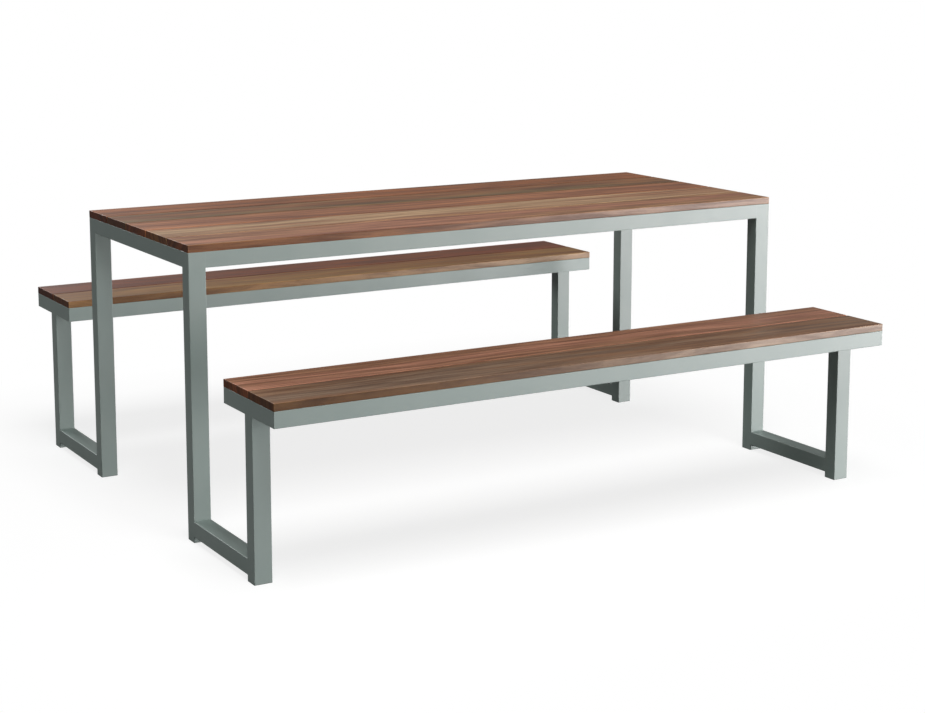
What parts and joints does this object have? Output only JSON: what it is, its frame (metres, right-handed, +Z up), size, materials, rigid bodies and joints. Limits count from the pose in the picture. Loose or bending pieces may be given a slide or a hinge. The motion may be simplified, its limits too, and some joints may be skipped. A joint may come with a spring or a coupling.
{
  "type": "table and bench set",
  "caption": "Outdoor table with a fixed bench along each long side: hardwood boards on one welded, painted frame of rectangular tube, tied at floor level by stretchers.",
  "frame": {"origin": "on the floor under the middle of the table, which is the bottom centre of the whole set", "axes": "+X along the length of the table and benches, +Y from the front bench to the rear bench, +Z up"},
  "size_m": [1.8, 1.7, 0.75],
  "materials": {
    "frame_paint": "satin grey-green powder coat",
    "timber_red": "oiled reddish hardwood",
    "timber_olive": "oiled olive-brown hardwood",
    "timber_tan": "oiled tan hardwood",
    "screw_steel": "plain stainless steel",
    "foot_nylon": "moulded grey-green nylon"
  },
  "bodies": {
    "root": {"table_board_1": "timber_red", "table_board_2": "timber_tan", "table_board_3": "timber_red", "table_board_4": "timber_olive", "table_board_5": "timber_red", "table_front_rail": "frame_paint", "table_rear_rail": "frame_paint", "table_left_end_rail": "frame_paint", "table_right_end_rail": "frame_paint", "table_cross_bar_1": "frame_paint", "table_cross_bar_2": "frame_paint", "table_cross_bar_3": "frame_paint", "table_cross_bar_4": "frame_paint", "table_cross_bar_5": "frame_paint", "table_leg_front_left": "frame_paint", "table_leg_front_right": "frame_paint", "table_leg_rear_left": "frame_paint", "table_leg_rear_right": "frame_paint", "front_bench_board_1": "timber_olive", "front_bench_board_2": "timber_red", "front_bench_outer_rail": "frame_paint", "front_bench_inner_rail": "frame_paint", "front_bench_left_end_rail": "frame_paint", "front_bench_right_end_rail": "frame_paint", "front_bench_cross_bar_1": "frame_paint", "front_bench_cross_bar_2": "frame_paint", "front_bench_cross_bar_3": "frame_paint", "front_bench_cross_bar_4": "frame_paint", "front_bench_cross_bar_5": "frame_paint", "front_bench_leg_left": "frame_paint", "front_bench_leg_right": "frame_paint", "rear_bench_board_1": "timber_red", "rear_bench_board_2": "timber_tan", "rear_bench_outer_rail": "frame_paint", "rear_bench_inner_rail": "frame_paint", "rear_bench_left_end_rail": "frame_paint", "rear_bench_right_end_rail": "frame_paint", "rear_bench_cross_bar_1": "frame_paint", "rear_bench_cross_bar_2": "frame_paint", "rear_bench_cross_bar_3": "frame_paint", "rear_bench_cross_bar_4": "frame_paint", "rear_bench_cross_bar_5": "frame_paint", "rear_bench_leg_left": "frame_paint", "rear_bench_leg_right": "frame_paint", "stretcher_front_left": "frame_paint", "stretcher_front_right": "frame_paint", "stretcher_rear_left": "frame_paint", "stretcher_rear_right": "frame_paint", "table_screws": "screw_steel", "front_bench_screws": "screw_steel", "rear_bench_screws": "screw_steel", "table_foot_plugs": "foot_nylon", "front_bench_foot_plugs": "foot_nylon", "rear_bench_foot_plugs": "foot_nylon"}
  },
  "joints": []
}
